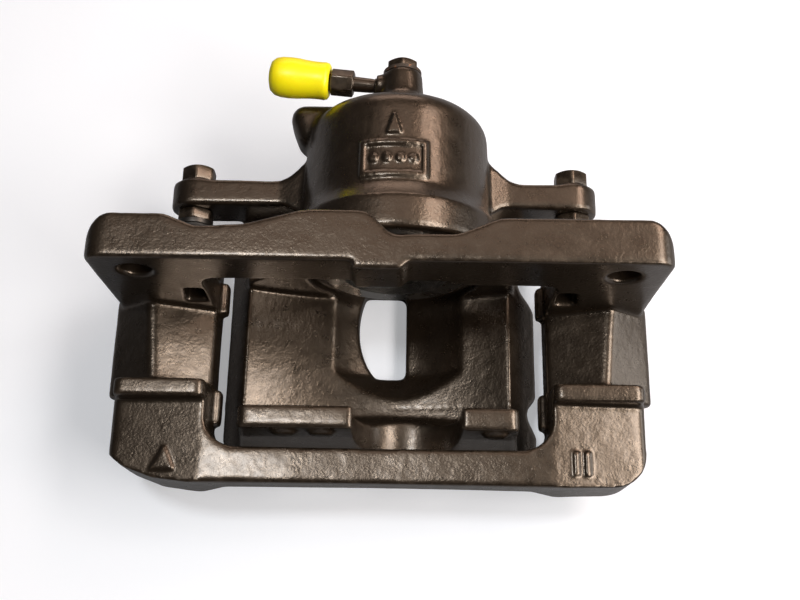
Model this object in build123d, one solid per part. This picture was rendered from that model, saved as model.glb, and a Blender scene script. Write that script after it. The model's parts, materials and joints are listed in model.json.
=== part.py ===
from build123d import *
import math
import os

# Floating single-piston front brake caliper with its carrier bracket.
# Frame, in millimetres: +X along the disc's travel, +Y inboard (towards the closed
# end of the cylinder), +Z towards the wheel hub. The origin is midway between the two
# guide pins, on the disc's mid-plane, at the height of the piston's axis.

# ---- driving dimensions ----
RUNNING = 0.06           # radial clearance of every sliding or turning fit
SLOT_HALF = 15.0         # disc slot, from the mid-plane to either leg face
DISC_HUB_Z = 96.0        # wheel axis above the piston axis
PISTON_X = 5.0           # piston axis, offset towards +X
PISTON_R = 27.0

# bracket
PLATE_HALF_X = 98.0      # inboard plate, overall half length
PLATE_TOP_Z = 49.0
PLATE_REAR_Y = 31.0      # machined face that meets the knuckle
BEAM_BOTTOM_Z = 28.5
LEG_INNER_X = 61.5       # the caliper's bridge passes between the legs
ARM_BOTTOM_Z = -20.0
ARM_FLOOR_Z = -6.0       # floor at its inner edge
RIDGE_X = 85.0           # ridge of an arm at its inboard end
RIDGE_DRAW_IN = 4.0      # how far the ridge leans in by the outboard end
RIDGE_Z = 4.0
ARM_OUTER_X = 100.0
MOUNT_X = 82.5
MOUNT_Z = 35.5
MOUNT_R = 5.4            # tapping drill for an M12 x 1.25 thread
MOUNT_CHAMFER = 0.6
BLOCK_OUTER_X = 95.5
BLOCK_TOP_Z = 5.0        # at its inner edge; the top falls away outwards
BLOCK_FALL = 3.2
TIE_TOP_Z = 3.4          # at the middle of the tie bar
RIB_TOP_Z = 9.0
RIB_WIDTH = 6.5
TIE_INNER_Y = -38.0
TIE_OUTER_Y = -50.5
TIE_BOTTOM_Z = -8.0
MARK_HEIGHT = 0.9        # cast marks stand this far above the skin
MARK_STROKE = 1.8

# guide pins, bolts and boots
GUIDE_X = 73.5
GUIDE_Z = -9.0
GUIDE_R = 5.0
GUIDE_TIP_Y = -10.0
GUIDE_BORE_END_Y = -14.0
BUSH_INNER_R = 3.6
BUSH_END_Y = 4.0
GUIDE_BOSS_R = 10.0
GUIDE_BOSS_Y = 40.0      # rear face of the boss that carries the pin's bore
PIN_HEX_Y = 51.5
EAR_FRONT_Y = 56.0
EAR_REAR_Y = 67.0
EAR_R = 9.5
PIN_NECK_Y = 47.2        # groove in a pin for its boot
PIN_SHOULDER_Y = 49.6
PIN_SHOULDER_R = 6.8
PIN_FLATS = 12.5
PIN_TAP_Y = 34.0         # bottom of the tapped hole in a pin
BOLT_R = 4.0
BOLT_END_Y = 36.0
BOLT_FLATS = 12.0
BOLT_FLANGE_R = 7.6
BOLT_FLANGE = 1.4
BOLT_HEAD = 6.0

# piston, seal and boot
SEAL_Y = 42.0            # middle of the seal's groove
SEAL_WIDTH = 4.0
SEAL_DEPTH = 3.0
BOOT_R = 31.5            # counterbore in the mouth that seats the piston's dust boot
BOOT_DEPTH = 4.5
BOOT_GROOVE = 1.8        # depth of the boot's groove in the piston
CUP_R = 19.5             # hollow of the piston
CUP_FLOOR = 10.0
RING_WIRE_R = 0.65

# caliper body
MOUTH_Y = 31.0
BORE_END_Y = 80.0
BODY_END_Y = 90.0
BARREL_R = 35.5
COLLAR_R = 39.5
COLLAR_END_Y = 43.5
SHOULDER_Y = 27.0
BRIDGE_HALF_X = 59.5
BRIDGE_INNER_R = 121.0   # inner face of the bridge, about the wheel axis
BRIDGE_OUTER_R = 145.0   # outer face, a flatter arc
BRIDGE_OUTER_Z = -40.0
PANEL_LEFT_X = -51.0
PANEL_RIGHT_X = 48.5
PANEL_EDGE_Z = -24.0
GROOVE_Y = -17.6         # shallow groove across the bridge, above the fingers
GROOVE_WIDTH = 0.9
GROOVE_DEPTH = 0.6
WINDOW_X = 5.0           # window in the bridge, a long oval with its ends cut off
WINDOW_Y = 17.0
WINDOW_HALF_X = 14.3
WINDOW_HALF_Y = 24.0
WINDOW_RIGHT_X = 9.5
WINDOW_LOW_Y = -4.0
WINDOW_HIGH_Y = 31.0
WINDOW_ROUND = 3.0
FINGER_INNER_Y = -25.0
FINGER_THICK = 8.0
FINGER_TIP_Z = 13.0
FINGER_LEFT_X = -48.5
FINGER_RIGHT_X = 49.0
FINGER_GAP_X = 10.0
FINGER_GAP_R = 19.0
FINGER_GAP_Z = -3.0      # centre of the round end of the gap
FINGER_PIPS_X = (-33, -20, 41)
FINGER_PIP_R = 4.5
FINGER_PIP_Z = 6.0
TROUGH_R = 33.2          # clearance cut below the mouth, along the piston axis
TROUGH_END_Y = -3.0
TROUGH_NOSE_R = 23.5
TROUGH_NOSE_Y = -15.5

# rear fittings
LUG_OUTER_X = -38.6      # rounded lug beside the closed end
LUG_FOOT_X = -32.0
LUG_END_Y = 93.8
LUG_LENGTH = 17.0
LUG_LOW_Z = -6.0
LUG_HIGH_Z = 13.0
LUG_ROUND = 5.5
PORT_X = 6.5
PORT_Z = 16.0
PORT_BOSS_R = 7.6
PORT_BOSS_Y = 103.2
PORT_R = 4.9
PLUG_FLATS = 11.0
PLUG_HEAD = 4.2
WASHER_THICK = 1.35
PASSAGE_R = 2.5          # drilling from the port into the cylinder
BLEED_Y = 97.8
BLEED_LEAN = 5.5         # degrees that the bleed screw leans away from the closed end
BLEED_R = 3.4
BLEED_SEAT = 5.5         # distances along the bleed screw from the port's axis
BLEED_FACE = 10.5
BLEED_HEX_START = 18.5
BLEED_HEX_END = 27.5
BLEED_FLATS = 9.0
BLEED_DRILL_R = 1.5
NIPPLE_R = 2.6
NIPPLE_BARB_R = 3.3
NIPPLE_BORE_R = 0.9
NIPPLE_END = 41.0
CAP_R = 7.8
CAP_BORE_R = 3.5
CAP_END = 51.0

# cast marks on the cylinder, measured from the middle of their frame
FRAME_X = 4.0
FRAME_Y = 59.0
FRAME_HALF_X = 12.0
FRAME_HALF_Y = 7.0
FRAME_WIDTH = 1.6
PIP_R = 1.3
PIP_PITCH = 4.8
PIP_COUNT = 4
ARROW_Y = 69.0
ARROW_HALF_X = 2.5
ARROW_LENGTH = 8.0


# ---- helpers ----
def box_between(x, y, z):
    """A box from three (low, high) pairs."""
    size = Box(x[1] - x[0], y[1] - y[0], z[1] - z[0])
    return Pos((x[0] + x[1]) / 2, (y[0] + y[1]) / 2, (z[0] + z[1]) / 2) * size


def rod_y(radius, y_low, y_high, x=0.0, z=0.0):
    """A round rod along Y."""
    rod = Cylinder(radius, y_high - y_low)
    return Pos(x, (y_low + y_high) / 2, z) * Rot(90, 0, 0) * rod


def rod_x(radius, x_low, x_high, y=0.0, z=0.0):
    """A round rod along X."""
    rod = Cylinder(radius, x_high - x_low)
    return Pos((x_low + x_high) / 2, y, z) * Rot(0, 90, 0) * rod


def rounded_face(corners):
    """A closed outline from (u, v, corner radius) triples."""
    points = [(u, v) for u, v, _ in corners]
    radii = [radius for _, _, radius in corners]
    return make_face(FilletPolyline(*points, radius=radii, close=True))


def along_y(face, y_low, y_high):
    """An outline drawn in X and Z, run along Y."""
    return extrude(Plane.XZ.offset(-y_high) * face, amount=y_high - y_low)


def along_z(face, z_low, z_high):
    """An outline drawn in X and Y, run along Z."""
    return extrude(Plane.XY.offset(z_low) * face, amount=z_high - z_low)


def turned_y(profile, x=0.0, z=0.0):
    """A solid turned about an axis along Y from (radius, y) points."""
    face = make_face(Polyline(*profile, close=True))
    return Pos(x, 0, z) * revolve(face, Axis.Y)


def turned_x(profile, y=0.0, z=0.0):
    """A solid turned about an axis along X from (x, radius) points."""
    face = make_face(Polyline(*profile, close=True))
    return Pos(0, y, z) * revolve(face, Axis.X)


def hexagon_y(across_flats, y_low, y_high, x, z):
    """A hexagonal prism along Y, with a flat towards +Z."""
    face = RegularPolygon(across_flats / 2, 6, major_radius=False, rotation=30)
    return Pos(x, 0, z) * along_y(face, y_low, y_high)


def mirrored(shape):
    return mirror(shape, Plane.YZ)


def arc_height(radius, x):
    """Height at x of a circle about the wheel axis, on its outer side."""
    return DISC_HUB_Z - math.sqrt(radius**2 - x**2)


def bleed_axis(shape):
    """Places a shape drawn along +X from the origin onto the bleed screw's axis."""
    return Pos(PORT_X, BLEED_Y, PORT_Z) * Rot(0, 0, 180 - BLEED_LEAN) * shape


def save(name, shape):
    export_step(shape, f"parts/{name}.step")


# ---- bracket ----
def inboard_plate():
    """The beam across the hub side with a mounting leg at each end."""
    front = rounded_face(
        [
            (-LEG_INNER_X, BEAM_BOTTOM_Z, 5),
            (-LEG_INNER_X, ARM_BOTTOM_Z, 0),
            (-PLATE_HALF_X + 9, ARM_BOTTOM_Z, 4),
            (-PLATE_HALF_X, ARM_BOTTOM_Z + 8, 4),
            (-PLATE_HALF_X, PLATE_TOP_Z, 7),
            (PLATE_HALF_X, PLATE_TOP_Z, 7),
            (PLATE_HALF_X, ARM_BOTTOM_Z + 8, 4),
            (PLATE_HALF_X - 9, ARM_BOTTOM_Z, 4),
            (LEG_INNER_X, ARM_BOTTOM_Z, 0),
            (LEG_INNER_X, BEAM_BOTTOM_Z - 3.5, 5),
            (PISTON_X + 25, BEAM_BOTTOM_Z - 3.5, 3),
            (PISTON_X + 17, BEAM_BOTTOM_Z, 3),
        ]
    )
    block_y = SLOT_HALF - 2.8
    plan = rounded_face(
        [
            (-PLATE_HALF_X, SLOT_HALF, 2),
            (-9, SLOT_HALF, 0.8),
            (-8.5, block_y, 1),
            (7, block_y, 1),
            (10, SLOT_HALF, 0.8),
            (PLATE_HALF_X, SLOT_HALF, 2),
            (PLATE_HALF_X, PLATE_REAR_Y - 3, 11),
            (PLATE_HALF_X - 8, PLATE_REAR_Y, 4),
            (40, PLATE_REAR_Y, 12),
            (26, 25, 10),
            (4, 24.5, 5),
            (-4, PLATE_REAR_Y + 2, 6),
            (-26, PLATE_REAR_Y + 2, 10),
            (-45, 27.5, 12),
            (-61, 26.5, 4),
            (-72, PLATE_REAR_Y, 4),
            (-PLATE_HALF_X + 8, PLATE_REAR_Y, 4),
            (-PLATE_HALF_X, PLATE_REAR_Y - 3, 11),
        ]
    )
    plate = along_y(front, 5, 40) & along_z(plan, -30, 60)
    relief = rod_y(COLLAR_R + 1.5, MOUTH_Y - 4, 60, PISTON_X)
    return plate - relief


def arm_section(ridge_x):
    """Cross-section of the right-hand arm: floor, ridge and outer face."""
    return rounded_face(
        [
            (LEG_INNER_X, ARM_FLOOR_Z, 1),
            (ridge_x, RIDGE_Z, 3),
            (ARM_OUTER_X, ARM_FLOOR_Z - 2, 3),
            (ARM_OUTER_X, ARM_BOTTOM_Z + 8, 2),
            (PLATE_HALF_X - 9, ARM_BOTTOM_Z, 4),
            (LEG_INNER_X, ARM_BOTTOM_Z, 1),
        ]
    )


def arm():
    """The right-hand arm that crosses outside the disc's rim."""
    reach = SLOT_HALF + 4
    inboard = Plane.XZ.offset(-reach) * arm_section(RIDGE_X)
    outboard = Plane.XZ.offset(reach) * arm_section(RIDGE_X - RIDGE_DRAW_IN)
    return loft([inboard, outboard])


def corner_block(chamfered):
    """The right-hand outboard leg, the rib on its slot side and half of the tie bar."""
    if chamfered:
        corner = [
            (BLOCK_OUTER_X, -41, 3),
            (BLOCK_OUTER_X - 6, -45.5, 4),
            (BLOCK_OUTER_X - 17, TIE_OUTER_Y + 1, 4),
        ]
    else:
        corner = [(BLOCK_OUTER_X - 1, TIE_OUTER_Y + 0.5, 13)]
    outline = [
        (-1, TIE_INNER_Y, 0),
        (LEG_INNER_X, TIE_INNER_Y, 11),
        (LEG_INNER_X, -SLOT_HALF, 1),
        (BLOCK_OUTER_X, -SLOT_HALF, 2),
        *corner,
        (66, TIE_OUTER_Y - 0.5, 4),
        (-1, TIE_OUTER_Y, 0),
    ]
    plan = rounded_face(outline)
    front = rounded_face(
        [
            (-1, TIE_BOTTOM_Z, 0),
            (-1, TIE_TOP_Z, 0),
            (LEG_INNER_X, BLOCK_TOP_Z, 2),
            (BLOCK_OUTER_X, BLOCK_TOP_Z - BLOCK_FALL, 4),
            (BLOCK_OUTER_X, ARM_BOTTOM_Z + 8, 4),
            (BLOCK_OUTER_X - 6, ARM_BOTTOM_Z, 4),
            (LEG_INNER_X + 2, ARM_BOTTOM_Z, 3),
            (LEG_INNER_X - 8, TIE_BOTTOM_Z, 3),
        ]
    )
    block = along_y(front, -60, 0) & along_z(plan, -30, 10)
    rib_front = rounded_face(
        [
            (LEG_INNER_X, ARM_BOTTOM_Z + 2, 0),
            (LEG_INNER_X, RIB_TOP_Z, 3),
            (BLOCK_OUTER_X - 1.5, RIB_TOP_Z, 3),
            (BLOCK_OUTER_X, ARM_BOTTOM_Z + 8, 2),
        ]
    )
    return block + along_y(rib_front, -SLOT_HALF - RIB_WIDTH, -SLOT_HALF)


def pad_ledge(y_low, y_high):
    """The small step at the foot of a leg on which a pad's backing plate rests."""
    section = rounded_face(
        [
            (LEG_INNER_X - 3.0, -9.0, 0.8),
            (LEG_INNER_X + 1, -9.0, 0),
            (LEG_INNER_X + 1, -17.0, 0),
            (LEG_INNER_X - 3.0, -15.0, 0.8),
        ]
    )
    return along_y(section, y_low, y_high)


def guide_boss():
    """The right-hand boss round a guide pin, with a lip that holds the boot."""
    boss = rod_y(GUIDE_BOSS_R, PLATE_REAR_Y - 12, GUIDE_BOSS_Y - 2.5, GUIDE_X, GUIDE_Z)
    lip = rod_y(GUIDE_BOSS_R - 2.5, 30, GUIDE_BOSS_Y, GUIDE_X, GUIDE_Z)
    foot = box_between(
        (LEG_INNER_X + 1, GUIDE_X + GUIDE_BOSS_R), (20, GUIDE_BOSS_Y - 5), (ARM_BOTTOM_Z, GUIDE_Z)
    )
    return boss + lip + foot


def mounting_hole(x):
    """The cutter for one threaded mounting hole, chamfered at both faces."""
    wide = MOUNT_R + MOUNT_CHAMFER
    front = SLOT_HALF
    rear = PLATE_REAR_Y
    profile = [
        (0, front - 1),
        (wide + 1, front - 1),
        (MOUNT_R, front + MOUNT_CHAMFER),
        (MOUNT_R, rear - MOUNT_CHAMFER),
        (wide + 1, rear + 1),
        (0, rear + 1),
    ]
    return turned_y(profile, x, MOUNT_Z)


def clip_pocket():
    """The blind pocket low on the right-hand inboard leg."""
    outline = rounded_face(
        [
            (LEG_INNER_X + 2, 4, 1),
            (LEG_INNER_X + 10, 4, 1),
            (LEG_INNER_X + 8, 18, 1),
            (LEG_INNER_X + 2, 18, 1),
        ]
    )
    return along_y(outline, SLOT_HALF - 1, SLOT_HALF + 7)


def casting_marks():
    """Plain raised marks on the corner blocks: an arrowhead and a pair of bars."""
    y_low = TIE_OUTER_Y + 4
    y_high = TIE_INNER_Y - 0.5
    arrow = Polyline((-79, y_low), (-71, y_low), (-75, y_high), close=True)
    bars = [box_between((x, x + MARK_STROKE), (y_low, y_high), (0, 10)) for x in (68.5, 72.5)]
    raised = Pos(0, 0, MARK_HEIGHT)
    left = along_z(make_face(arrow), 0, 10) & raised * mirrored(corner_block(True))
    right = (bars[0] + bars[1]) & raised * corner_block(False)
    return left + right


def bracket():
    body = inboard_plate()
    for chamfered in (False, True):
        side = arm() + corner_block(chamfered)
        side += pad_ledge(SLOT_HALF, SLOT_HALF + 12) + pad_ledge(-SLOT_HALF - 13, -SLOT_HALF)
        side += guide_boss()
        body += mirrored(side) if chamfered else side
    pin_bore = rod_y(GUIDE_R + RUNNING, GUIDE_BORE_END_Y, GUIDE_BOSS_Y + 1, GUIDE_X, GUIDE_Z)
    for cutter in (pin_bore, clip_pocket()):
        body -= cutter
        body -= mirrored(cutter)
    for x in (-MOUNT_X, MOUNT_X):
        body -= mounting_hole(x)
    return body + casting_marks()


# ---- caliper body ----
def barrel():
    """The cylinder with its rounded closed end and the collar round its mouth."""
    outline = rounded_face(
        [
            (0, MOUTH_Y, 0),
            (COLLAR_R, MOUTH_Y, 2),
            (COLLAR_R, COLLAR_END_Y, 3),
            (BARREL_R, COLLAR_END_Y + 5.5, 8),
            (BARREL_R - 0.8, BODY_END_Y - 1, 9),
            (14, BODY_END_Y, 20),
            (0, BODY_END_Y, 0),
        ]
    )
    return Pos(PISTON_X, 0, 0) * revolve(outline, Axis.Y)


def panel_arc(radius, x_from, x_to):
    """An arc about the wheel axis between two x values, in the X-Z drawing plane."""
    middle = (x_from + x_to) / 2
    return ThreePointArc(
        (x_from, arc_height(radius, x_from)),
        (middle, arc_height(radius, middle)),
        (x_to, arc_height(radius, x_to)),
    )


def bridge():
    """The curved plate that carries the clamp load across the disc's rim."""
    inner = panel_arc(BRIDGE_INNER_R, PANEL_LEFT_X, PANEL_RIGHT_X)
    edge_drop = BRIDGE_OUTER_R - math.sqrt(BRIDGE_OUTER_R**2 - BRIDGE_HALF_X**2)
    low_edge_z = BRIDGE_OUTER_Z + edge_drop
    outer = ThreePointArc(
        (BRIDGE_HALF_X, low_edge_z), (0, BRIDGE_OUTER_Z), (-BRIDGE_HALF_X, low_edge_z)
    )
    right = Polyline(inner @ 1, (BRIDGE_HALF_X, PANEL_EDGE_Z), outer @ 0)
    left = Polyline(outer @ 1, (-BRIDGE_HALF_X, PANEL_EDGE_Z), inner @ 0)
    section = make_face([*inner.edges(), *right.edges(), *outer.edges(), *left.edges()])
    plate = along_y(section, -45, MOUTH_Y + 19)
    half = BRIDGE_HALF_X + 1
    plan = rounded_face(
        [
            (-half, SHOULDER_Y + 22, 6),
            (-half, -33, 14),
            (-50, -41, 6),
            (PANEL_RIGHT_X, -41, 6),
            (59, -38, 4),
            (59.5, -28, 3),
            (54.5, -19, 6),
            (half, -12, 10),
            (half, 22, 14),
            (53, 30, 8),
            (53, SHOULDER_Y + 22, 6),
        ]
    )
    groove_r = BRIDGE_INNER_R + GROOVE_DEPTH
    groove = rod_y(groove_r, GROOVE_Y - GROOVE_WIDTH / 2, GROOVE_Y + GROOVE_WIDTH / 2, 0, DISC_HUB_Z)
    return (plate & along_z(plan, -60, 10)) - groove


def fingers():
    """The two fingers that press on the outer pad, with the gap between them."""
    outer_y = FINGER_INNER_Y - FINGER_THICK
    front = rounded_face(
        [
            (FINGER_LEFT_X - 3, -30, 0),
            (FINGER_LEFT_X - 2.5, -10, 6),
            (FINGER_LEFT_X, FINGER_TIP_Z, 3),
            (FINGER_RIGHT_X, FINGER_TIP_Z, 3),
            (FINGER_RIGHT_X + 1, -10, 6),
            (FINGER_RIGHT_X + 1.5, -30, 0),
        ]
    )
    side = make_face(
        Polyline(
            (FINGER_INNER_Y, FINGER_TIP_Z),
            (outer_y, FINGER_TIP_Z),
            (outer_y, -3),
            (outer_y - 2, -10),
            (outer_y - 8, -24),
            (outer_y - 6, -34),
            (FINGER_INNER_Y + 3, -34),
            (FINGER_INNER_Y + 3, -24),
            (FINGER_INNER_Y, -18),
            close=True,
        )
    )
    side_run = extrude(Plane.YZ.offset(-70) * side, amount=140)
    pair = along_y(front, -50, -15) & side_run
    gap = rod_y(FINGER_GAP_R, -60, -5, FINGER_GAP_X, FINGER_GAP_Z)
    slot = box_between(
        (FINGER_GAP_X - FINGER_GAP_R, FINGER_GAP_X + FINGER_GAP_R), (-60, -22), (FINGER_GAP_Z, 40)
    )
    for x in FINGER_PIPS_X:
        pair += rod_y(FINGER_PIP_R, outer_y - 1.6, outer_y + 2, x, FINGER_PIP_Z)
    return pair, gap + slot


def shoulder():
    """The block beside the cylinder's mouth that ties it to the bridge."""
    front = rounded_face(
        [
            (-53, -30, 0),
            (-51.5, -8, 5),
            (-36, 4, 6),
            (0, 10, 0),
            (44, 4, 6),
            (50, -8, 5),
            (52, -30, 0),
        ]
    )
    return along_y(front, SHOULDER_Y, SHOULDER_Y + 20)


def ears():
    """The two flat ears that the guide bolts clamp to the guide pins."""
    front = rounded_face(
        [
            (-26, 3, 6),
            (-40, GUIDE_Z + EAR_R, 8),
            (-GUIDE_X, GUIDE_Z + EAR_R, 0),
            (-GUIDE_X, GUIDE_Z - EAR_R, 0),
            (-44, GUIDE_Z - EAR_R, 8),
            (-24, -27, 6),
            (34, -27, 6),
            (52, GUIDE_Z - EAR_R, 8),
            (GUIDE_X, GUIDE_Z - EAR_R, 0),
            (GUIDE_X, GUIDE_Z + EAR_R, 0),
            (48, GUIDE_Z + EAR_R, 8),
            (36, 3, 6),
        ]
    )
    plan = rounded_face(
        [
            (-90, EAR_FRONT_Y, 0),
            (-38, EAR_FRONT_Y, 6),
            (-22, 46, 0),
            (32, 46, 0),
            (46, EAR_FRONT_Y, 6),
            (90, EAR_FRONT_Y, 0),
            (90, EAR_REAR_Y, 0),
            (50, EAR_REAR_Y - 1, 12),
            (34, 80, 0),
            (-24, 80, 0),
            (-38, EAR_REAR_Y - 1, 12),
            (-90, EAR_REAR_Y, 0),
        ]
    )
    pair = along_y(front, 40, 85) & along_z(plan, -40, 20)
    for x in (-GUIDE_X, GUIDE_X):
        pair += rod_y(EAR_R, EAR_FRONT_Y, EAR_REAR_Y, x, GUIDE_Z)
    web = box_between((-56, 56), (SHOULDER_Y + 15, EAR_FRONT_Y + 2), (-27, GUIDE_Z - EAR_R + 1))
    return pair + web


def rear_bosses():
    """The hose port's boss, the bleed screw's boss and the lug on the closed end."""
    port_flare = [
        (0, 80),
        (PORT_BOSS_R + 4, 80),
        (PORT_BOSS_R + 4, BODY_END_Y - 2),
        (PORT_BOSS_R + 0.6, BODY_END_Y + 3),
        (PORT_BOSS_R, PORT_BOSS_Y),
        (0, PORT_BOSS_Y),
    ]
    port = turned_y(port_flare, PORT_X, PORT_Z)
    bleed = bleed_axis(turned_x([(0, 0), (BLEED_FACE, 0), (BLEED_FACE, 4.4), (0, 5.0)]))
    lug_root_x = PISTON_X - 18
    lug_outline = Polyline(
        (LUG_OUTER_X, LUG_END_Y),
        (lug_root_x, LUG_END_Y),
        (lug_root_x, LUG_END_Y - LUG_LENGTH),
        (LUG_FOOT_X, LUG_END_Y - LUG_LENGTH),
        close=True,
    )
    lug = along_z(make_face(lug_outline), LUG_LOW_Z, LUG_HIGH_Z)
    return port + bleed + fillet(lug.edges(), LUG_ROUND)


def barrel_marks():
    """Plain raised cast marks on the hub side: a framed panel of pips and a triangle."""
    skin = BARREL_R + 0.7
    shell = rod_y(skin, 50, 82, PISTON_X) - rod_y(BARREL_R - 1.6, 49, 83, PISTON_X)
    outer = Rectangle(2 * FRAME_HALF_X, 2 * FRAME_HALF_Y)
    inner = Rectangle(2 * (FRAME_HALF_X - FRAME_WIDTH), 2 * (FRAME_HALF_Y - FRAME_WIDTH))
    flat = Pos(FRAME_X, FRAME_Y) * (outer - inner)
    first_x = FRAME_X - PIP_PITCH * (PIP_COUNT - 1) / 2
    for column in range(PIP_COUNT):
        flat += Pos(first_x + PIP_PITCH * column, FRAME_Y) * Circle(PIP_R)
    arrow = Polyline(
        (FRAME_X - ARROW_HALF_X, ARROW_Y),
        (FRAME_X + ARROW_HALF_X, ARROW_Y),
        (FRAME_X, ARROW_Y + ARROW_LENGTH),
        close=True,
    )
    flat += make_face(arrow)
    return shell & along_z(flat, 20, 45)


def body_cutters():
    """Everything bored, drilled or cast through the caliper body."""
    bore = PISTON_R + RUNNING
    bore_profile = [
        (0, MOUTH_Y - 6),
        (BOOT_R, MOUTH_Y - 6),
        (BOOT_R, MOUTH_Y + BOOT_DEPTH),
        (bore, MOUTH_Y + BOOT_DEPTH),
        (bore, SEAL_Y - SEAL_WIDTH / 2),
        (bore + SEAL_DEPTH, SEAL_Y - SEAL_WIDTH / 2),
        (bore + SEAL_DEPTH, SEAL_Y + SEAL_WIDTH / 2),
        (bore, SEAL_Y + SEAL_WIDTH / 2),
        (bore, BORE_END_Y - 3),
        (bore - 3, BORE_END_Y),
        (0, BORE_END_Y),
    ]
    trough_profile = [
        (0, MOUTH_Y),
        (TROUGH_R, MOUTH_Y),
        (TROUGH_R, TROUGH_END_Y),
        (TROUGH_NOSE_R, TROUGH_NOSE_Y),
        (0, TROUGH_NOSE_Y),
    ]
    oval = Pos(WINDOW_X, WINDOW_Y) * Ellipse(WINDOW_HALF_X, WINDOW_HALF_Y)
    left_x = WINDOW_X - WINDOW_HALF_X - WINDOW_ROUND
    limits = rounded_face([
        (left_x, WINDOW_LOW_Y, WINDOW_ROUND),
        (WINDOW_RIGHT_X, WINDOW_LOW_Y, WINDOW_ROUND),
        (WINDOW_RIGHT_X, WINDOW_HIGH_Y, WINDOW_ROUND),
        (left_x, WINDOW_HIGH_Y, WINDOW_ROUND),
    ])
    window = oval & limits
    cutters = [
        turned_y(bore_profile, PISTON_X),
        turned_y(trough_profile, PISTON_X),
        along_z(window, -60, -20),
        rod_y(PORT_R + RUNNING, BODY_END_Y + 1, PORT_BOSS_Y + 1, PORT_X, PORT_Z),
        rod_y(PASSAGE_R, BORE_END_Y - 1, BODY_END_Y + 2, PORT_X, PORT_Z),
        bleed_axis(rod_x(BLEED_R + RUNNING, BLEED_SEAT - 0.5, BLEED_FACE + 1)),
        bleed_axis(rod_x(BLEED_DRILL_R, 0, BLEED_SEAT)),
    ]
    for x in (-GUIDE_X, GUIDE_X):
        cutters.append(rod_y(BOLT_R + 0.3, EAR_FRONT_Y - 1, EAR_REAR_Y + 1, x, GUIDE_Z))
    return cutters


def caliper_body():
    finger_pair, finger_gap = fingers()
    body = bridge() + shoulder() + barrel() + ears() + rear_bosses() + finger_pair
    body += barrel_marks()
    for cutter in [*body_cutters(), finger_gap]:
        body -= cutter
    return body


# ---- piston and its soft parts ----
def piston():
    """A hollow steel cup, open towards the inner pad, with a groove for its boot."""
    face_y = SHOULDER_Y
    end_y = BORE_END_Y - 1
    profile = [
        (CUP_R, face_y),
        (PISTON_R - 0.8, face_y),
        (PISTON_R, face_y + 0.8),
        (PISTON_R, face_y + 2.2),
        (PISTON_R - BOOT_GROOVE, face_y + 2.2),
        (PISTON_R - BOOT_GROOVE, face_y + 5.0),
        (PISTON_R, face_y + 5.0),
        (PISTON_R, end_y - 3.5),
        (PISTON_R - 3.5, end_y),
        (0, end_y),
        (0, end_y - CUP_FLOOR),
        (CUP_R - 3, end_y - CUP_FLOOR),
        (CUP_R, end_y - CUP_FLOOR - 3),
    ]
    return turned_y(profile, PISTON_X)


def piston_seal():
    """The square-cut ring that seals the bore and pulls the piston back."""
    inner = PISTON_R + RUNNING
    half = SEAL_WIDTH / 2
    ring = rod_y(inner + SEAL_DEPTH - 0.1, SEAL_Y - half + 0.1, SEAL_Y + half - 0.1, PISTON_X)
    return ring - rod_y(inner, SEAL_Y - half, SEAL_Y + half, PISTON_X)


def piston_boot():
    """The dust boot: a bead on the piston's groove and another in the mouth."""
    groove_y = SHOULDER_Y + 2.4
    profile = [
        (PISTON_R - 1.7, groove_y),
        (PISTON_R + 1.4, groove_y),
        (PISTON_R + 2.6, groove_y + 3.2),
        (PISTON_R + 3.4, groove_y + 1.2),
        (PISTON_R + 4.3, groove_y + 1.2),
        (PISTON_R + 4.3, MOUTH_Y + 0.9),
        (PISTON_R + 3.0, MOUTH_Y + 0.9),
        (PISTON_R + 3.0, MOUTH_Y + 4.3),
        (PISTON_R + 0.4, MOUTH_Y + 4.3),
        (PISTON_R + 0.4, groove_y + 2.4),
        (PISTON_R - 1.7, groove_y + 2.4),
    ]
    return turned_y(profile, PISTON_X)


def piston_boot_ring():
    """The round wire ring that holds the boot's outer bead in the mouth."""
    wire = Pos(PISTON_R + 3.8, MOUTH_Y + 2.6) * Circle(RING_WIRE_R)
    return Pos(PISTON_X, 0, 0) * revolve(wire, Axis.Y)


# ---- guide pins ----
def guide_pin(x, bush):
    """A sliding pin: hexagon at the ear, boot groove, ground shank, tapped from the rear."""
    profile = [
        (0, GUIDE_TIP_Y),
        (GUIDE_R - 1, GUIDE_TIP_Y),
        (GUIDE_R, GUIDE_TIP_Y + 1),
        (GUIDE_R, PIN_NECK_Y),
        (GUIDE_R - 0.9, PIN_NECK_Y),
        (GUIDE_R - 0.9, PIN_SHOULDER_Y),
        (PIN_SHOULDER_R, PIN_SHOULDER_Y),
        (PIN_SHOULDER_R, PIN_HEX_Y),
        (0, PIN_HEX_Y),
    ]
    pin = turned_y(profile, x, GUIDE_Z)
    pin += hexagon_y(PIN_FLATS, PIN_HEX_Y, EAR_FRONT_Y, x, GUIDE_Z)
    if bush:
        land = rod_y(GUIDE_R + 1, GUIDE_TIP_Y + 1.3, BUSH_END_Y, x, GUIDE_Z)
        pin -= land - rod_y(BUSH_INNER_R - 0.05, GUIDE_TIP_Y, BUSH_END_Y + 1, x, GUIDE_Z)
    return pin - rod_y(BOLT_R + 0.05, PIN_TAP_Y, EAR_FRONT_Y + 1, x, GUIDE_Z)


def guide_pin_bush():
    """The rubber sleeve that steadies the right-hand pin's tip."""
    sleeve = rod_y(GUIDE_R - 0.1, GUIDE_TIP_Y + 1.4, BUSH_END_Y - 0.1, GUIDE_X, GUIDE_Z)
    return sleeve - rod_y(BUSH_INNER_R, GUIDE_TIP_Y, BUSH_END_Y, GUIDE_X, GUIDE_Z)


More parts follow.
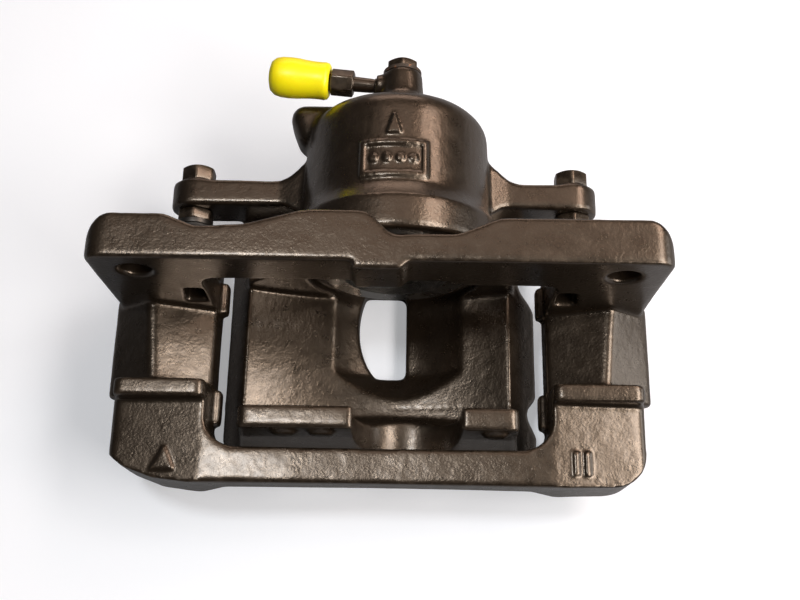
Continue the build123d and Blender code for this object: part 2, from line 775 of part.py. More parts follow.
def guide_boot(x):
    """The folded rubber sleeve between the bracket's boss and the pin."""
    inner = GUIDE_R + 0.4
    outer = GUIDE_R + 3.6
    profile = [
        (inner, GUIDE_BOSS_Y + 0.1),
        (outer, GUIDE_BOSS_Y + 0.1),
        (outer, GUIDE_BOSS_Y + 2.4),
        (outer - 1.6, GUIDE_BOSS_Y + 3.6),
        (outer, GUIDE_BOSS_Y + 5.0),
        (outer - 1.6, GUIDE_BOSS_Y + 6.4),
        (outer - 0.8, GUIDE_BOSS_Y + 7.6),
        (outer - 0.8, PIN_SHOULDER_Y - 0.1),
        (inner, PIN_SHOULDER_Y - 0.1),
    ]
    return turned_y(profile, x, GUIDE_Z)


def guide_bolt(x):
    """The flanged hexagon bolt that clamps an ear against its guide pin."""
    head_y = EAR_REAR_Y + BOLT_FLANGE
    top_y = head_y + BOLT_HEAD
    bolt = rod_y(BOLT_R, BOLT_END_Y, EAR_REAR_Y, x, GUIDE_Z)
    bolt += rod_y(BOLT_FLANGE_R, EAR_REAR_Y, head_y, x, GUIDE_Z)
    head = hexagon_y(BOLT_FLATS, head_y, top_y, x, GUIDE_Z)
    dome = turned_y([(0, 60), (9.5, 60), (6.0, top_y + 0.1), (0, top_y + 0.1)], x, GUIDE_Z)
    return bolt + (head & dome)


# ---- hose port and bleed screw ----
def hose_port_plug():
    """The hexagon plug that closes the brake hose's port."""
    washer_top = PORT_BOSS_Y + WASHER_THICK + 0.05
    plug = rod_y(PORT_R, BODY_END_Y + 2.5, washer_top, PORT_X, PORT_Z)
    plug -= bleed_axis(rod_x(1.6, -2, 12))
    return plug + hexagon_y(PLUG_FLATS, washer_top, washer_top + PLUG_HEAD, PORT_X, PORT_Z)


def hose_port_washer():
    """The soft copper washer under the plug's hexagon."""
    top_y = PORT_BOSS_Y + WASHER_THICK
    ring = rod_y(PORT_BOSS_R - 0.3, PORT_BOSS_Y, top_y, PORT_X, PORT_Z)
    return ring - rod_y(PORT_R + 0.1, PORT_BOSS_Y - 1, PORT_BOSS_Y + 2, PORT_X, PORT_Z)


def bleed_screw():
    """The bleed screw: conical seat, threaded shank, hexagon and hose nipple."""
    profile = [
        (BLEED_SEAT - 0.4, 0),
        (BLEED_SEAT + 2.0, BLEED_R - 1.0),
        (BLEED_SEAT + 2.0, BLEED_R),
        (BLEED_HEX_START, BLEED_R),
        (BLEED_HEX_END, NIPPLE_BARB_R),
        (BLEED_HEX_END + 3, NIPPLE_R),
        (NIPPLE_END - 4.5, NIPPLE_R),
        (NIPPLE_END - 4, NIPPLE_BARB_R),
        (NIPPLE_END, NIPPLE_R),
        (NIPPLE_END, 0),
    ]
    hexagon = RegularPolygon(BLEED_FLATS / 2, 6, major_radius=False)
    nut = extrude(hexagon, amount=BLEED_HEX_END - BLEED_HEX_START)
    screw = turned_x(profile) + Pos(BLEED_HEX_START, 0, 0) * Rot(0, 90, 0) * nut
    return bleed_axis(screw - rod_x(NIPPLE_BORE_R, BLEED_SEAT + 4, NIPPLE_END + 1))


def bleed_cap():
    """The moulded dust cap that pushes over the bleed screw's nipple."""
    mouth = BLEED_HEX_END + 0.3
    profile = [
        (mouth, CAP_BORE_R),
        (mouth, CAP_R - 1.0),
        (mouth + 2.5, CAP_R - 0.4),
        (mouth + 5.0, CAP_R - 0.6),
        (mouth + 10, CAP_R),
        (CAP_END - 5, CAP_R),
        (CAP_END - 1.5, CAP_R - 1.0),
        (CAP_END, CAP_R - 3.3),
        (CAP_END, 0),
        (NIPPLE_END + 0.4, 0),
        (NIPPLE_END + 0.4, CAP_BORE_R),
    ]
    return bleed_axis(turned_x(profile))


def main():
    os.makedirs("parts", exist_ok=True)
    save("bracket", bracket())
    save("caliper_body", caliper_body())
    save("piston", piston())
    save("piston_seal", piston_seal())
    save("piston_boot", piston_boot())
    save("piston_boot_ring", piston_boot_ring())
    for side, x in (("left", -GUIDE_X), ("right", GUIDE_X)):
        save(f"guide_pin_{side}", guide_pin(x, bush=x > 0))
        save(f"guide_boot_{side}", guide_boot(x))
        save(f"guide_bolt_{side}", guide_bolt(x))
    save("guide_pin_bush", guide_pin_bush())
    save("hose_port_plug", hose_port_plug())
    save("hose_port_washer", hose_port_washer())
    save("bleed_screw", bleed_screw())
    save("bleed_cap", bleed_cap())


main()
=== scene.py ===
import itertools
import json
import math

import bmesh
import bpy
import numpy as np
from mathutils import Matrix, Vector


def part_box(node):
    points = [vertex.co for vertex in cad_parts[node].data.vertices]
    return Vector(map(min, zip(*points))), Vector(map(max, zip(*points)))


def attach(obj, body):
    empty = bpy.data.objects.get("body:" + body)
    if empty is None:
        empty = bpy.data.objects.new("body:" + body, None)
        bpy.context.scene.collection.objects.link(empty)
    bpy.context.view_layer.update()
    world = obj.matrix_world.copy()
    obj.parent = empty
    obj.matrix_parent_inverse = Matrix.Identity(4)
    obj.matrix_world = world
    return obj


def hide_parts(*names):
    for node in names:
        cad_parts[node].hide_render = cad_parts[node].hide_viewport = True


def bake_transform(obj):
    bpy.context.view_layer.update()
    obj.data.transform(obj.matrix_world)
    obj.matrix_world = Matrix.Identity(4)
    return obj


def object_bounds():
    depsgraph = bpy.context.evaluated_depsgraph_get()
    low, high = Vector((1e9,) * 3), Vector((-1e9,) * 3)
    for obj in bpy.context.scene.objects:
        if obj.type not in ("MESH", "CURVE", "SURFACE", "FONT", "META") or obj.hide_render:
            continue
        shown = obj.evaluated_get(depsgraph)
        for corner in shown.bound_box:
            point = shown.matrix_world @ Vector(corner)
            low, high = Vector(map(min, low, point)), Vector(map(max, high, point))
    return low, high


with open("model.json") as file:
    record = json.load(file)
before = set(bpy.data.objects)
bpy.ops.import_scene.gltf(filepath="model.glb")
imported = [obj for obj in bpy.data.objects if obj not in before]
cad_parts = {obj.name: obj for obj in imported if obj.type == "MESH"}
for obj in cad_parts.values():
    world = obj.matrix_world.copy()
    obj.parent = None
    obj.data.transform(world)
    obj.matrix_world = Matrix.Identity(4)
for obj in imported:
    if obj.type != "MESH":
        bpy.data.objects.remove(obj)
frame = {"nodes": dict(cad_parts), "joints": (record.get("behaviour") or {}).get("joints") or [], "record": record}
cad_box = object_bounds()

# Lengths are in metres and MM is one millimetre. The frame is the part's own: +X along the
# disc's travel, +Y inboard, +Z towards the wheel hub.
MM = 0.001

# ---- castings ----
SKIN_VOXEL = 0.6 * MM
EDGE_RADIUS = 1.1 * MM       # spread of the smoothing that rounds every cast edge
DETAIL_RADIUS = 0.35 * MM    # the same where raised marks must stay sharp
FLARE_RADIUS = 2.6 * MM      # the same where the cylinder flares into its collar
NOISE_CELLS = 64             # size of the repeating table behind the noise
SAND_SKIN = (                # (height, width) of the bumps in a casting's skin, coarse to fine
    (0.10 * MM, 16 * MM),
    (0.035 * MM, 5 * MM),
    (0.022 * MM, 2.2 * MM),
    (0.024 * MM, 1.2 * MM),
)
MACHINED_SHARE = 0.25        # how much of that skin is left on machined faces
MACHINED_FROM = 0.96         # a face this square to Y starts to count as machined
MACHINED_RAMP = 0.03
BORE_CATCH = 0.9 * MM        # skin this near a bore's wall is put back on it
BORE_RIM = 0.6 * MM          # skin this far round a bore stays smooth

# ---- where a casting keeps sharp detail or has a wide flare ----
CORNER_MARK_X = 62 * MM      # marks on the bracket's corner blocks start this far out
CORNER_MARK_DEPTH = 14 * MM  # and reach this far in from its outboard face
BARREL_MARK_HALF = 14 * MM
BARREL_MARK_Y = (50 * MM, 80 * MM)
GROOVE_Y = (-19 * MM, -16 * MM)
GROOVE_Z = (-30 * MM, -8 * MM)
FLARE_HALF = 45 * MM
FLARE_Y = (44 * MM, 56 * MM)
HUB_SIDE_Z = (8 * MM, 45 * MM)

# ---- fits between pieces that slide ----
PIN_GAP = 0.16 * MM          # bush surface to the wall of its bore
PISTON_GAP = 0.10 * MM

# ---- stage ----
LAMP_DISTANCE = 0.80
CEILING_DISTANCE = 0.85
FLOOR_GLOW = 0.34            # lifts the floor to a pale tone in the picture only
FLOOR_BOUNCE = 0.35          # share of the light on the floor that reaches the object
ROOM_GLOW = 0.035            # the room's faint light on the object
WALL_TONE = 0.75             # how pale the room's wall looks behind the floor
FLOOR_HALF = 3.0             # half the width of the floor
CAMERA_AIM = (6.9 * MM, 18.1 * MM, 0)
CAMERA_DISTANCE = 377.9 * MM
CAMERA_ELEVATION = 71.1      # degrees above the floor
CAMERA_SWING = -0.7          # degrees to the side of +Y
CAMERA_ROLL = 0.2            # degrees
CAMERA_LENS = 45.8           # focal length in millimetres, on a sensor 36 mm wide

# ---- turned pieces and fasteners ----
TURN_STEPS = 96
THREAD_STEPS = 48
THREAD_RINGS = 8             # rings of points in one turn of a thread
ALONG_Y = (0, 1, 0)
HEX_SOFTNESS = 0.15 * MM     # taken off a hexagon's corners
HEX_BEVEL = 30               # slope of a hexagon's chamfer in degrees
PIN_FLATS = 12.5 * MM
PIN_HEXAGON = 4.5 * MM       # length of the hexagon, the shoulder and the boot's groove
PIN_SHOULDER = 1.9 * MM
PIN_GROOVE = 2.4 * MM
PIN_TAP_RADIUS = 4.05 * MM
PIN_TAP_FROM_TIP = 44 * MM   # how far from the pin's tip its tapped hole ends
PIN_TAP_CONE = 2 * MM
BOLT_FLATS = 12 * MM
BOLT_HEAD = 6.1 * MM
BOLT_FLANGE = 1.4 * MM
PLUG_FLATS = 11 * MM
BOLT_THREAD = (3.95 * MM, 0.6 * MM, 1.25 * MM)   # radius, depth and pitch
PLUG_THREAD = (4.85 * MM, 0.55 * MM, 1.0 * MM)

# ---- bleed screw and its cap, along the screw from the hose port's axis ----
SEAT_AT = 5.2 * MM
THREAD_AT = (7.6 * MM, 10.6 * MM)
HEX_AT = (18.5 * MM, 27.5 * MM)
NIPPLE_AT = 41.0 * MM
BLEED_FLATS = 9 * MM
BLEED_THREAD = (3.38 * MM, 0.5 * MM, 1.0 * MM)   # radius, depth and pitch
CAP_OUTLINE = (              # (radius, distance) in millimetres, from the open end
    (3.6, 27.9), (5.9, 27.85), (6.8, 28.5), (7.15, 29.8), (7.05, 31.2), (7.05, 33.0),
    (7.1, 35.0), (7.3, 37.5), (7.6, 40.0), (7.75, 43.0), (7.6, 46.3), (7.0, 48.7),
    (5.6, 50.3), (3.4, 50.95), (1.5, 51.0), (0.0, 51.0),
)
CAP_CAVITY = ((0.0, 41.6), (2.6, 41.5), (3.5, 40.6), (3.55, 36.0), (3.5, 31.0))


# ================= places taken from the frame =================
def node_centre(name):
    low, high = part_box(name)
    return (low + high) / 2


def mount_named(name):
    return next(m for m in frame["record"]["mounts"] if m["name"] == name)


def joint_named(name):
    return next(j for j in frame["joints"] if j["name"] == name)


PISTON_LOW, PISTON_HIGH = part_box("piston")
PISTON_AXIS = node_centre("piston")
PISTON_RADIUS = (PISTON_HIGH.x - PISTON_LOW.x) / 2
BUSH_LOW, BUSH_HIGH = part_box("guide_pin_bush")
PIN_RADIUS = (BUSH_HIGH.x - BUSH_LOW.x) / 2 + 0.1 * MM
BLEED = joint_named("bleed_screw_turn")
BLEED_ORIGIN = Vector(BLEED["pos_m"])
BLEED_AXIS = Vector(BLEED["axis"]).normalized()
SIDES = ("left", "right")


# ================= mesh helpers =================
def link_mesh(name, vertices, faces):
    mesh = bpy.data.meshes.new(name)
    mesh.from_pydata([tuple(v) for v in vertices], [], faces)
    mesh.validate()
    mesh.shade_smooth()
    piece = bpy.data.objects.new(name, mesh)
    bpy.context.scene.collection.objects.link(piece)
    return piece


def axis_matrix(origin, axis):
    """Takes points drawn about local Z onto an axis in the frame."""
    turn = Vector(axis).to_track_quat("Z", "Y").to_matrix().to_4x4()
    return Matrix.Translation(Vector(origin)) @ turn


def arc_corners(profile, radius, steps=4):
    """Rounds every corner of a closed (radius, height) outline that is off the axis."""
    points = [Vector(p) for p in profile]
    rounded = []
    for index, corner in enumerate(points):
        before = points[index - 1]
        after = points[(index + 1) % len(points)]
        to_before = before - corner
        to_after = after - corner
        reach = min(radius, 0.45 * to_before.length, 0.45 * to_after.length)
        if corner.x < 1e-7 or reach < 1e-6:
            rounded.append(corner)
            continue
        start = corner + to_before.normalized() * reach
        end = corner + to_after.normalized() * reach
        for step in range(steps + 1):
            t = step / steps
            rounded.append((1 - t) ** 2 * start + 2 * t * (1 - t) * corner + t**2 * end)
    return rounded


def spline(points, steps):
    """A smooth closed curve through the points."""
    points = [Vector(p) for p in points]
    count = len(points)
    curve = []
    for index in range(count):
        p0, p1, p2, p3 = (points[(index + k) % count] for k in (-1, 0, 1, 2))
        for step in range(steps):
            t = step / steps
            curve.append(
                0.5 * (2 * p1 + (p2 - p0) * t + (2 * p0 - 5 * p1 + 4 * p2 - p3) * t**2
                       + (3 * p1 - p0 - 3 * p2 + p3) * t**3)
            )
    return curve


def swept(name, columns, origin, axis):
    """A closed skin through columns of (radius, height) points, evenly spaced round an axis."""
    place = axis_matrix(origin, axis)
    steps = len(columns)
    rings = len(columns[0])
    vertices = []
    for step, column in enumerate(columns):
        angle = 2 * math.pi * step / steps
        for radius, height in column:
            local = Vector((radius * math.cos(angle), radius * math.sin(angle), height))
            vertices.append(place @ local)
    faces = []
    for step in range(steps):
        here = step * rings
        there = (step + 1) % steps * rings
        for ring in range(rings):
            ahead = (ring + 1) % rings
            faces.append((here + ring, here + ahead, there + ahead, there + ring))
    piece = link_mesh(name, vertices, faces)
    clean(piece)
    return piece


def turned(name, profile, origin, axis=ALONG_Y):
    """A solid turned from a closed (radius, height) outline."""
    return swept(name, [profile] * TURN_STEPS, origin, axis)


def clean(piece):
    """Welds doubled points, drops empty faces and turns all faces outwards."""
    form = bmesh.new()
    form.from_mesh(piece.data)
    bmesh.ops.remove_doubles(form, verts=form.verts, dist=1e-6)
    bmesh.ops.dissolve_degenerate(form, dist=1e-7, edges=form.edges)
    bmesh.ops.recalc_face_normals(form, faces=form.faces)
    form.to_mesh(piece.data)
    form.free()
    piece.data.shade_smooth()


def hex_reach(across_flats, angle):
    """Distance from the centre to a hexagon's side at an angle, with softened corners."""
    sixth = math.pi / 3
    offset = (angle % sixth) - sixth / 2
    sharp = across_flats / 2 / math.cos(offset)
    corner = across_flats / 2 / math.cos(sixth / 2)
    return min(sharp, corner - HEX_SOFTNESS)


def hex_part(name, across_flats, low, high, origin, axis, chamfer_low=False, chamfer=0.9, bore=0.0):
    """A hexagon with chamfered corners, closed at both ends, with a bore if one is given."""
    flat = across_flats / 2 * chamfer
    slope = math.tan(math.radians(HEX_BEVEL))
    turn = math.pi / 6
    columns = []
    for step in range(TURN_STEPS):
        reach = hex_reach(across_flats, 2 * math.pi * step / TURN_STEPS + turn)
        drop = max(reach - flat, 0) * slope
        rise = drop if chamfer_low else 0.1 * MM
        columns.append([
            (bore, low),
            (min(flat, reach), low),
            (reach - 0.05 * MM, low + rise * 0.9),
            (reach, low + rise + 0.12 * MM),
            (reach, high - drop - 0.12 * MM),
            (reach - 0.05 * MM, high - drop * 0.92),
            (min(flat, reach), high - 0.02 * MM),
            (flat * 0.96, high),
            (bore, high),
        ])
    return swept(name, columns, origin, axis)


def threaded(name, radius, depth, pitch, low, high, origin, axis):
    """A screw thread as a real spiral ridge, fading out at both ends and closed."""
    place = axis_matrix(origin, axis)
    steps = THREAD_STEPS
    rings = int((high - low) / pitch * THREAD_RINGS)
    vertices = []
    for ring in range(rings + 1):
        height = low + (high - low) * ring / rings
        fade = min(1.0, (height - low) / pitch, (high - height) / pitch)
        for step in range(steps):
            angle = 2 * math.pi * step / steps
            phase = (height / pitch - step / steps) % 1
            groove = abs(2 * phase - 1) ** 1.5
            reach = radius - depth * (1 - groove * fade)
            local = Vector((reach * math.cos(angle), reach * math.sin(angle), height))
            vertices.append(place @ local)
    faces = []
    for ring in range(rings):
        for step in range(steps):
            ahead = (step + 1) % steps
            here = ring * steps
            there = here + steps
            faces.append((here + step, here + ahead, there + ahead, there + step))
    faces.append(tuple(range(steps))[::-1])
    faces.append(tuple(rings * steps + step for step in range(steps)))
    piece = link_mesh(name, vertices, faces)
    clean(piece)
    return piece


def joined(name, parts):
    """Several closed meshes kept together as one piece."""
    vertices = []
    faces = []
    for part in parts:
        start = len(vertices)
        vertices += [v.co.copy() for v in part.data.vertices]
        faces += [tuple(start + i for i in p.vertices) for p in part.data.polygons]
        bpy.data.objects.remove(part)
    return link_mesh(name, vertices, faces)


def stand_in(piece, node, material):
    """Gives a modelled piece its material and shows it in place of a CAD node."""
    piece.data.materials.append(material)
    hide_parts(node)


# ================= castings =================
def value_noise(points, scale, seed):
    """Smooth noise between -1 and 1 whose features are about one scale wide."""
    table = np.random.RandomState(seed).uniform(-1, 1, (NOISE_CELLS,) * 3)
    place = points / scale
    cell = np.floor(place).astype(int)
    t = place - cell
    t = t * t * (3 - 2 * t)
    total = np.zeros(len(points))
    for corner in itertools.product((0, 1), repeat=3):
        corner = np.array(corner)
        weight = np.prod(np.where(corner, t, 1 - t), axis=1)
        index = (cell + corner) % NOISE_CELLS
        total += weight * table[index[:, 0], index[:, 1], index[:, 2]]
    return total


def in_box(points, low, high):
    return np.all((points >= np.array(low)) & (points <= np.array(high)), axis=1)


def mesh_points(mesh):
    points = np.zeros(len(mesh.vertices) * 3)
    mesh.vertices.foreach_get("co", points)
    return points.reshape(-1, 3)


def mesh_normals(mesh):
    normals = np.zeros(len(mesh.vertices) * 3, np.float32)
    mesh.vertex_normals.foreach_get("vector", normals)
    return normals.reshape(-1, 3).astype(float)


def set_points(mesh, points):
    mesh.vertices.foreach_set("co", points.ravel())
    mesh.update()


def voxel_skin(source, name, voxel):
    """A copy of a CAD mesh rebuilt as one even, watertight skin."""
    mesh = source.data.copy()
    form = bmesh.new()
    form.from_mesh(mesh)
    bmesh.ops.remove_doubles(form, verts=form.verts, dist=1e-6)
    form.to_mesh(mesh)
    form.free()
    rough = bpy.data.objects.new(name, mesh)
    bpy.context.scene.collection.objects.link(rough)
    skin = rough.modifiers.new("skin", "REMESH")
    skin.mode = "VOXEL"
    skin.voxel_size = voxel
    graph = bpy.context.evaluated_depsgraph_get()
    rough.data = bpy.data.meshes.new_from_object(rough.evaluated_get(graph))
    rough.modifiers.clear()
    rough.data.materials.clear()
    return rough


def relax(mesh, spread, voxel, share):
    """Rounds the edges of a skin over a spread in metres, less where the share is under 1."""
    points = mesh_points(mesh)
    edges = np.zeros(len(mesh.edges) * 2, int)
    mesh.edges.foreach_get("vertices", edges)
    first, second = edges.reshape(-1, 2).T
    count = len(points)
    neighbours = np.bincount(edges, minlength=count)
    step = 0.5
    rounds = max(1, round(2 * (spread / voxel) ** 2 / step))
    weight = (step * share)[:, None]
    for _ in range(rounds):
        total = np.empty_like(points)
        for k in range(3):
            total[:, k] = np.bincount(first, points[second, k], count)
            total[:, k] += np.bincount(second, points[first, k], count)
        points += weight * (total / neighbours[:, None] - points)
    set_points(mesh, points)


def true_bores(mesh, bores):
    """Puts the wall of each (x, z, radius, y_low, y_high) bore back on its cylinder."""
    points = mesh_points(mesh)
    for x, z, radius, y_low, y_high in bores:
        across = points[:, [0, 2]] - np.array((x, z))
        reach = np.hypot(across[:, 0], across[:, 1])
        wall = np.abs(reach - radius) < BORE_CATCH
        wall &= (points[:, 1] > y_low) & (points[:, 1] < y_high)
        scale = (radius / np.maximum(reach, 1e-9))[wall, None]
        moved = np.array((x, z)) + across[wall] * scale
        points[wall, 0] = moved[:, 0]
        points[wall, 2] = moved[:, 1]
    set_points(mesh, points)


def roughen(mesh, bores, seed):
    """The sand skin of a casting, faint on the faces that were machined square to Y."""
    points = mesh_points(mesh)
    normals = mesh_normals(mesh)
    machined = np.clip((np.abs(normals[:, 1]) - MACHINED_FROM) / MACHINED_RAMP, 0, 1)
    amount = 1 - (1 - MACHINED_SHARE) * machined
    for x, z, radius, y_low, y_high in bores:
        reach = np.hypot(points[:, 0] - x, points[:, 2] - z)
        inside = (reach < radius + BORE_RIM) & (points[:, 1] > y_low) & (points[:, 1] < y_high)
        amount[inside] = 0
    height = np.zeros(len(points))
    for layer, (peak, width) in enumerate(SAND_SKIN):
        height += peak * value_noise(points, width, seed + layer)
    set_points(mesh, points + normals * (height * amount)[:, None])


def cast_piece(node, body, paint, bores, details, seed, flares=()):
    """The visible casting that stands for a CAD node: rounded, rough and watertight."""
    piece = voxel_skin(frame["nodes"][node], "cast_" + node, SKIN_VOXEL)
    mesh = piece.data
    points = mesh_points(mesh)
    detail = np.zeros(len(points), bool)
    for low, high in details:
        detail |= in_box(points, low, high)
    relax(mesh, EDGE_RADIUS, SKIN_VOXEL, np.where(detail, (DETAIL_RADIUS / EDGE_RADIUS) ** 2, 1.0))
    for low, high in flares:
        soft = in_box(points, low, high) & ~detail
        relax(mesh, FLARE_RADIUS, SKIN_VOXEL, soft.astype(float))
    true_bores(mesh, bores)
    roughen(mesh, bores, seed)
    true_bores(mesh, bores)
    mesh.shade_smooth()
    stand_in(piece, node, paint)
    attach(piece, body)


def pin_bores():
    boss_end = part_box("guide_boot_left")[0].y
    bores = []
    for side in SIDES:
        axis = node_centre(f"guide_bolt_{side}")
        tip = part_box(f"guide_pin_{side}")[0].y
        bores.append((axis.x, axis.z, PIN_RADIUS + PIN_GAP, tip - 3 * MM, boss_end - 0.3 * MM))
    return bores


def mounting_bores():
    bolts = mount_named("knuckle_bolts")
    half = bolts["dims"]["spacing_x_mm"] / 2 * MM
    x, y, z = bolts["pos_m"]
    radius = bolts["dims"]["hole_r_mm"] * MM
    reach = 7.2 * MM
    return [(x + sign * half, z, radius, y - reach, y + reach) for sign in (-1, 1)]


def box_round_piston(half_width, span_y):
    """The corners of a box on the hub side of the cylinder."""
    low = (PISTON_AXIS.x - half_width, span_y[0], HUB_SIDE_Z[0])
    high = (PISTON_AXIS.x + half_width, span_y[1], HUB_SIDE_Z[1])
    return low, high


def build_castings(paint):
    low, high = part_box("bracket")
    mark_y = low.y + CORNER_MARK_DEPTH
    marks = [
        ((low.x, low.y, 0), (-CORNER_MARK_X, mark_y, high.z / 4)),
        ((CORNER_MARK_X, low.y, 0), (high.x, mark_y, high.z / 4)),
    ]
    cast_piece("bracket", "bracket", paint, pin_bores() + mounting_bores(), marks, seed=11)
    low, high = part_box("caliper_body")
    barrel_mark = box_round_piston(BARREL_MARK_HALF, BARREL_MARK_Y)
    groove = ((low.x, GROOVE_Y[0], GROOVE_Z[0]), (high.x, GROOVE_Y[1], GROOVE_Z[1]))
    flare = box_round_piston(FLARE_HALF, FLARE_Y)
    piston_bore = (
        PISTON_AXIS.x, PISTON_AXIS.z, PISTON_RADIUS + PISTON_GAP,
        PISTON_LOW.y + 9 * MM, PISTON_HIGH.y - 4 * MM,
    )
    cast_piece(
        "caliper_body", "caliper", paint, [piston_bore], [barrel_mark, groove], seed=29, flares=[flare]
    )


# ================= soft parts =================
def build_piston_boot(rubber):
    """The dust boot: a folded bead in the mouth and a sleeve that ends in the piston's groove."""
    low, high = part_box("piston_boot")
    outer = (high.x - low.x) / 2
    face = low.y
    seat = high.y
    groove = PISTON_RADIUS - 1.7 * MM
    sleeve_in = PISTON_RADIUS + 0.4 * MM
    sleeve_out = PISTON_RADIUS + 1.2 * MM
    loop = [
        (outer - 1.2 * MM, seat - 0.1 * MM),
        (outer - 0.1 * MM, seat - 0.9 * MM),
        (outer - 0.1 * MM, seat - 2.4 * MM),
        (outer - 0.7 * MM, face + 3.0 * MM),
        (outer - 1.6 * MM, face + 3.0 * MM),
        (outer - 2.1 * MM, face + 3.9 * MM),
        (sleeve_out + 0.1 * MM, face + 3.2 * MM),
        (sleeve_out, face + 2.0 * MM),
        (sleeve_out - 0.05 * MM, face + 1.0 * MM),
        (sleeve_out - 0.5 * MM, face + 0.3 * MM),
        (groove + 1.2 * MM, face + 0.25 * MM),
        (groove, face + 0.4 * MM),
        (groove, face + 1.8 * MM),
        (groove + 1.4 * MM, face + 1.95 * MM),
        (sleeve_in, face + 1.8 * MM),
        (sleeve_in, face + 3.2 * MM),
        (sleeve_in + 0.5 * MM, seat - 1.1 * MM),
        (sleeve_in + 1.5 * MM, seat - 0.2 * MM),
    ]
    origin = (PISTON_AXIS.x, 0, PISTON_AXIS.z)
    boot = turned("piston_dust_boot", spline(loop, 4), origin)
    stand_in(boot, "piston_boot", rubber)
    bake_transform(boot)


def bellows_loop(outer, pin, start, end):
    """The closed outline of a guide boot: a cuff on the boss, three folds, a lip on the pin."""
    wall = 0.9 * MM
    folds = 3
    length = end - start
    outside = [(outer, start + 0.3 * MM), (outer, start + 1.6 * MM)]
    inside = [(outer - wall, start + 2.4 * MM)]
    for fold in range(folds):
        at = start + length * (0.30 + 0.19 * fold)
        crest = outer - 0.25 * MM * fold
        outside += [
            (crest - 1.3 * MM, at - length * 0.06),
            (crest - 0.1 * MM, at + length * 0.035),
        ]
        inside += [
            (crest - 1.3 * MM - wall, at - length * 0.04),
            (crest - wall, at + length * 0.035),
        ]
    outside += [(pin + 1.7 * MM, end - 1.2 * MM), (pin + 1.7 * MM, end - 0.2 * MM)]
    inside += [(pin + 0.05 * MM, end - 1.3 * MM)]
    loop = [(pin + 0.4 * MM, start)] + outside + [(pin + 0.4 * MM, end)] + inside[::-1]
    loop += [(pin + 0.2 * MM, start + 1.6 * MM)]
    return [(max(radius, pin), height) for radius, height in loop]


def build_guide_boots(rubber):
    """The bellows between the bracket's bosses and the guide pins."""
    for side in SIDES:
        node = f"guide_boot_{side}"
        low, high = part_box(node)
        axis = node_centre(node)
        outer = (high.x - low.x) / 2 - 0.1 * MM
        start = low.y + 0.1 * MM
        end = high.y - 0.1 * MM
        loop = bellows_loop(outer, PIN_RADIUS + 0.35 * MM, start, end)
        boot = turned(f"bellows_{side}", spline(loop, 3), (axis.x, 0, axis.z))
        stand_in(boot, node, rubber)
        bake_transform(boot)


def build_piston_seal(rubber):
    """The square-cut ring in its groove, out of sight round the piston."""
    low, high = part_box("piston_seal")
    outer = (high.x - low.x) / 2
    inner = PISTON_RADIUS + 0.06 * MM
    section = [(inner, low.y), (outer, low.y), (outer, high.y), (inner, high.y)]
    origin = (PISTON_AXIS.x, 0, PISTON_AXIS.z)
    seal = turned("square_seal", arc_corners(section, 0.25 * MM), origin)
    stand_in(seal, "piston_seal", rubber)
    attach(seal, "caliper")


def build_bush(rubber):
    """The ribbed bush near the tip of the right-hand pin."""
    low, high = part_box("guide_pin_bush")
    axis = node_centre("guide_pin_bush")
    outer = (high.x - low.x) / 2
    inner = outer - 1.25 * MM
    ribs = 5
    pitch = (high.y - low.y) / ribs
    section = [(inner, low.y)]
    for rib in range(ribs):
        at = low.y + rib * pitch
        section += [(outer - 0.3 * MM, at), (outer, at + 0.3 * pitch), (outer, at + 0.7 * pitch)]
    section += [(outer - 0.3 * MM, high.y), (inner, high.y)]
    bush = turned("ribbed_bush", arc_corners(section, 0.2 * MM), (axis.x, 0, axis.z))
    stand_in(bush, "guide_pin_bush", rubber)
    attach(bush, "caliper")


# ================= bolts and fittings =================
def pin_section(side, low, hex_low):
    """The outline of a guide pin from its tip up to the foot of its hexagon."""
    shoulder = hex_low - PIN_SHOULDER
    groove = shoulder - PIN_GROOVE
    neck = PIN_RADIUS - 0.9 * MM
    tip = [(0, low), (PIN_RADIUS - 1 * MM, low), (PIN_RADIUS, low + 1 * MM)]
    if side == "right":
        land = BUSH_HIGH.y + 0.1 * MM
        neck_in = PIN_RADIUS - 1.45 * MM
        tip = [
            (0, low),
            (PIN_RADIUS - 0.3 * MM, low),
            (PIN_RADIUS, low + 0.3 * MM),
            (PIN_RADIUS, low + 1.25 * MM),
            (neck_in, low + 1.3 * MM),
            (neck_in, land),
            (PIN_RADIUS, land + 0.05 * MM),
        ]
    return tip + [
        (PIN_RADIUS, groove),
        (neck, groove + 0.1 * MM),
        (neck, shoulder - 0.1 * MM),
        (PIN_RADIUS + 1.7 * MM, shoulder),
        (PIN_RADIUS + 1.8 * MM, hex_low + 0.1 * MM),
        (PIN_TAP_RADIUS, hex_low + 0.1 * MM),
        (PIN_TAP_RADIUS, low + PIN_TAP_FROM_TIP),
        (0, low + PIN_TAP_FROM_TIP - PIN_TAP_CONE),
    ]


def build_guide_pins(paint, steel):
    """Ground shanks with a boot groove and a shoulder, and a painted hexagon under the ear."""
    for side in SIDES:
        node = f"guide_pin_{side}"
        low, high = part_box(node)
        axis = node_centre(f"guide_bolt_{side}")
        origin = (axis.x, 0, axis.z)
        hex_low = high.y - PIN_HEXAGON
        section = pin_section(side, low.y, hex_low)
        shank = turned(f"pin_shank_{side}", arc_corners(section, 0.25 * MM), origin)
        hexagon = hex_part(
            f"pin_hexagon_{side}", PIN_FLATS, hex_low, high.y, origin, ALONG_Y,
            chamfer_low=True, chamfer=0.97, bore=PIN_TAP_RADIUS,
        )
        for piece, material in ((shank, steel), (hexagon, paint)):
            stand_in(piece, node, material)
            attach(piece, "caliper")


